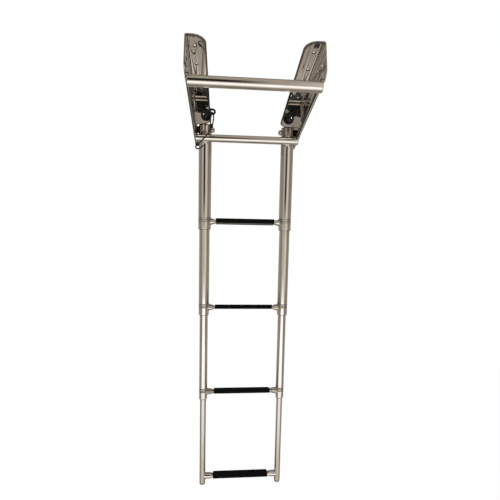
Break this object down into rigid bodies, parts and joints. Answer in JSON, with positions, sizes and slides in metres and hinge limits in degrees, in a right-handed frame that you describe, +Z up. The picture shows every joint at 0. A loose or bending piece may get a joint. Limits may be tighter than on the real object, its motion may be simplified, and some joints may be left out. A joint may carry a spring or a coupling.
{
  "type": "telescopic boarding ladder with under-platform slide tracks",
  "caption": "Telescopic stainless ladder hung from two under-platform tracks; it slides together and folds up level.",
  "frame": {"origin": "on the top face of the left track's web, on its screw line, midway along the screws", "axes": "+Z up out of the tracks' top faces, +Y outboard, +X across from the left track to the right one"},
  "size_m": [0.317, 0.643, 1.1687],
  "materials": {
    "polished_sheet": "polished stainless sheet",
    "polished_tube": "polished stainless tube",
    "hardware_steel": "bright turned steel",
    "tread_rubber": "matt black moulding, ribbed",
    "knob_black": "gloss black moulding",
    "nylon_black": "satin black nylon",
    "lanyard_black": "black braided cord and moulded crimps"
  },
  "bodies": {
    "tracks": {"left_track": "polished_sheet", "right_track": "polished_sheet", "left_carriage": "polished_sheet", "right_carriage": "polished_sheet", "left_pivot_bolt": "hardware_steel", "right_pivot_bolt": "hardware_steel", "left_lock_housing": "hardware_steel", "right_lock_housing": "hardware_steel", "slide_pads": "nylon_black", "pivot_spacers": "nylon_black", "inboard_crossbar": "polished_tube", "outboard_crossbar": "polished_tube", "bar_plugs": "polished_tube", "lanyard_cord": "lanyard_black", "lanyard_tail": "lanyard_black", "lanyard_ring": "lanyard_black", "lanyard_crimps": "lanyard_black"},
    "stage_1": {"left_stage_1_tube": "polished_tube", "right_stage_1_tube": "polished_tube", "rung_1": "polished_tube", "tread_1": "tread_rubber", "stage_1_bushings": "nylon_black", "top_caps": "nylon_black"},
    "stage_2": {"left_stage_2_tube": "polished_tube", "right_stage_2_tube": "polished_tube", "rung_2": "polished_tube", "tread_2": "tread_rubber", "stage_2_bushings": "nylon_black", "stage_2_guides": "nylon_black"},
    "stage_3": {"left_stage_3_tube": "polished_tube", "right_stage_3_tube": "polished_tube", "rung_3": "polished_tube", "tread_3": "tread_rubber", "stage_3_bushings": "nylon_black", "stage_3_guides": "nylon_black"},
    "stage_4": {"left_stage_4_tube": "polished_tube", "right_stage_4_tube": "polished_tube", "rung_4": "polished_tube", "tread_4": "tread_rubber", "stage_4_guides": "nylon_black", "feet": "polished_tube"},
    "left_lock": {"left_lock_pin": "hardware_steel", "left_lock_knob": "knob_black"},
    "right_lock": {"right_lock_pin": "hardware_steel", "right_lock_knob": "knob_black"}
  },
  "joints": [
    {"name": "ladder_fold", "type": "hinge", "parent": "tracks", "child": "stage_1", "pos_m": [0.1385, 0.1306, -0.0615], "axis": [1, 0, 0], "range_deg": [0, 74.5]},
    {"name": "stage_2_slide", "type": "slide", "parent": "stage_1", "child": "stage_2", "axis": [0, -0.2672, 0.9636], "range_m": [0, 0.2305]},
    {"name": "stage_3_slide", "type": "slide", "parent": "stage_2", "child": "stage_3", "axis": [0, -0.2672, 0.9636], "range_m": [0, 0.2393]},
    {"name": "stage_4_slide", "type": "slide", "parent": "stage_3", "child": "stage_4", "axis": [0, -0.2672, 0.9636], "range_m": [0, 0.2535]},
    {"name": "left_lock_pull", "type": "slide", "parent": "tracks", "child": "left_lock", "axis": [0, 0, -1], "range_m": [0, 0.009], "stiffness_N_per_m": 600, "springref_m": -0.012},
    {"name": "right_lock_pull", "type": "slide", "parent": "tracks", "child": "right_lock", "axis": [0, 0, -1], "range_m": [0, 0.009], "stiffness_N_per_m": 600, "springref_m": -0.012}
  ]
}
